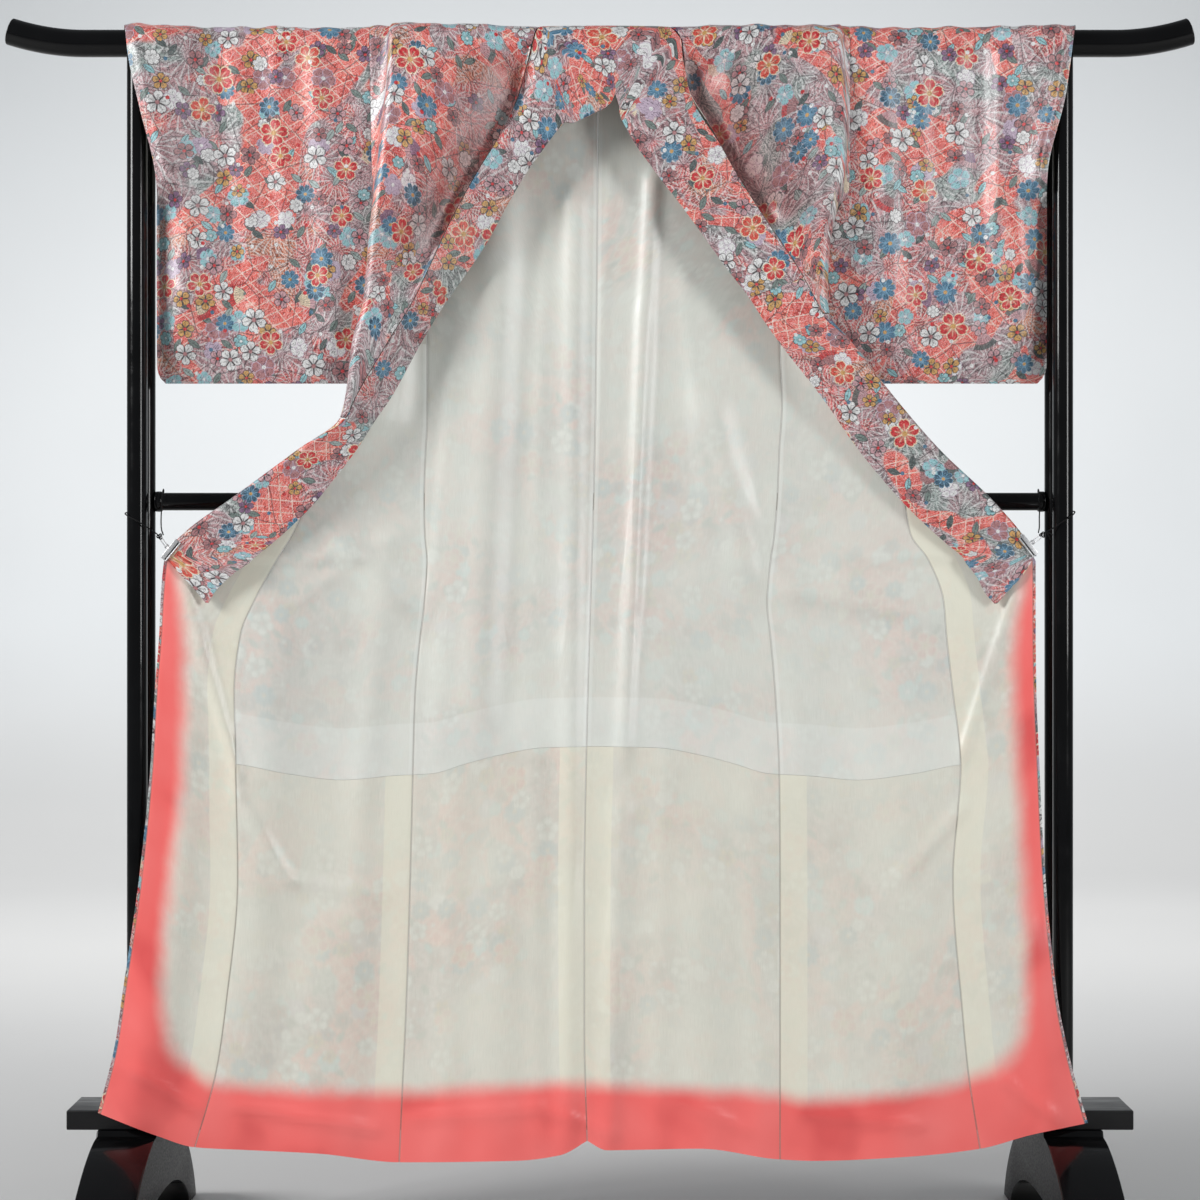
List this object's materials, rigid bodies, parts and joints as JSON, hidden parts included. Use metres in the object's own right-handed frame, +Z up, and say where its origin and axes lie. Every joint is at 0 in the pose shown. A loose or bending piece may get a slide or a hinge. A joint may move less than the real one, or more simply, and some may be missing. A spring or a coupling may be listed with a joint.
{
  "type": "komon kimono on a black lacquer kimono rack",
  "caption": "Lined komon kimono hung open over a lacquered rack, sleeves on the top rail, fronts turned out and clipped to the posts.",
  "frame": {"origin": "on the floor, under the middle of the rack", "axes": "+Z up, +X to the right as seen from the front, +Y away from the front, where the kimono shows its lining"},
  "size_m": [1.6626, 0.588, 1.714],
  "materials": {
    "body_left": "printed silk crepe, soft sheen",
    "okumi_left": "printed silk crepe, soft sheen",
    "sleeve_left": "printed silk crepe, soft sheen",
    "lining_back_left": "thin white silk",
    "lining_front_left": "thin white silk",
    "hakkake_back_left": "cream silk shading to coral at the hem",
    "hakkake_front_left": "cream silk shading to coral at the hem",
    "hakkake_okumi_left": "cream silk shading to coral at the edge",
    "post_front_left": "gloss black lacquer",
    "post_rear_left": "gloss black lacquer",
    "saddle_left": "gloss black lacquer",
    "foot_left": "gloss black lacquer",
    "clip_left": "bright plated spring steel",
    "ring_left": "bright plated wire",
    "cord_left": "twisted black cord",
    "body_right": "printed silk crepe, soft sheen",
    "okumi_right": "printed silk crepe, soft sheen",
    "sleeve_right": "printed silk crepe, soft sheen",
    "lining_back_right": "thin white silk",
    "lining_front_right": "thin white silk",
    "hakkake_back_right": "cream silk shading to coral at the hem",
    "hakkake_front_right": "cream silk shading to coral at the hem",
    "hakkake_okumi_right": "cream silk shading to coral at the edge",
    "post_front_right": "gloss black lacquer",
    "post_rear_right": "gloss black lacquer",
    "saddle_right": "gloss black lacquer",
    "foot_right": "gloss black lacquer",
    "clip_right": "bright plated spring steel",
    "ring_right": "bright plated wire",
    "cord_right": "twisted black cord",
    "collar": "printed silk crepe, soft sheen",
    "over_collar": "printed silk crepe, soft sheen",
    "top_rail": "gloss black lacquer",
    "mid_rail": "gloss black lacquer",
    "base_beam": "satin black lacquer"
  },
  "bodies": {
    "root": {"body_left": "body_left", "okumi_left": "okumi_left", "sleeve_left": "sleeve_left", "lining_back_left": "lining_back_left", "lining_front_left": "lining_front_left", "hakkake_back_left": "hakkake_back_left", "hakkake_front_left": "hakkake_front_left", "hakkake_okumi_left": "hakkake_okumi_left", "post_front_left": "post_front_left", "post_rear_left": "post_rear_left", "saddle_left": "saddle_left", "foot_left": "foot_left", "clip_left": "clip_left", "ring_left": "ring_left", "cord_left": "cord_left", "body_right": "body_right", "okumi_right": "okumi_right", "sleeve_right": "sleeve_right", "lining_back_right": "lining_back_right", "lining_front_right": "lining_front_right", "hakkake_back_right": "hakkake_back_right", "hakkake_front_right": "hakkake_front_right", "hakkake_okumi_right": "hakkake_okumi_right", "post_front_right": "post_front_right", "post_rear_right": "post_rear_right", "saddle_right": "saddle_right", "foot_right": "foot_right", "clip_right": "clip_right", "ring_right": "ring_right", "cord_right": "cord_right", "collar": "collar", "over_collar": "over_collar", "top_rail": "top_rail", "mid_rail": "mid_rail", "base_beam": "base_beam"}
  },
  "joints": []
}
